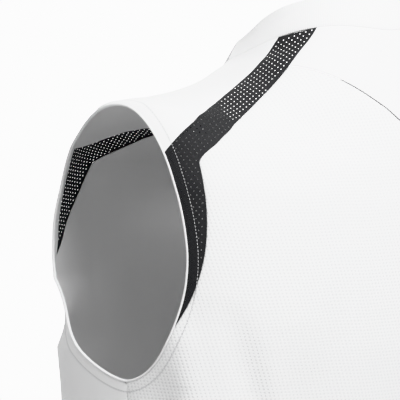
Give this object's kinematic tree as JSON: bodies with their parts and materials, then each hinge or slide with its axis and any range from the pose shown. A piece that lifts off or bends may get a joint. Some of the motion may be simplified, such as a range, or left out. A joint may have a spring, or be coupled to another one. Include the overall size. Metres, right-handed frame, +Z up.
{
  "type": "sleeveless sports t-shirt",
  "caption": "Sleeveless crew-neck sports shirt with dark mesh bands round the armholes, filled out and hollow as if worn.",
  "frame": {"origin": "where the wearer's shoulders hold the shirt: on its centre plane, level with the shoulder tips, midway between them", "axes": "+Z up towards the collar, +X towards the wearer's left side, -Y towards the front of the shirt"},
  "size_m": [0.408, 0.2564, 0.7154],
  "materials": {
    "white_jersey": "smooth knit, matt with a faint sheen",
    "white_pique": "fine dimpled knit, matt",
    "white_rib": "fine ribbed knit, matt",
    "black_mesh": "open knitted mesh with small round holes, matt"
  },
  "bodies": {
    "root": {"front_panel": "white_jersey", "back_panel": "white_pique", "back_yoke": "white_jersey", "shoulder_left": "white_jersey", "shoulder_right": "white_jersey", "band_back_left": "black_mesh", "band_back_right": "black_mesh", "band_front_left": "black_mesh", "band_front_right": "black_mesh", "collar_rib": "white_rib", "armhole_facing_left": "white_jersey", "armhole_facing_right": "white_jersey"}
  },
  "joints": []
}
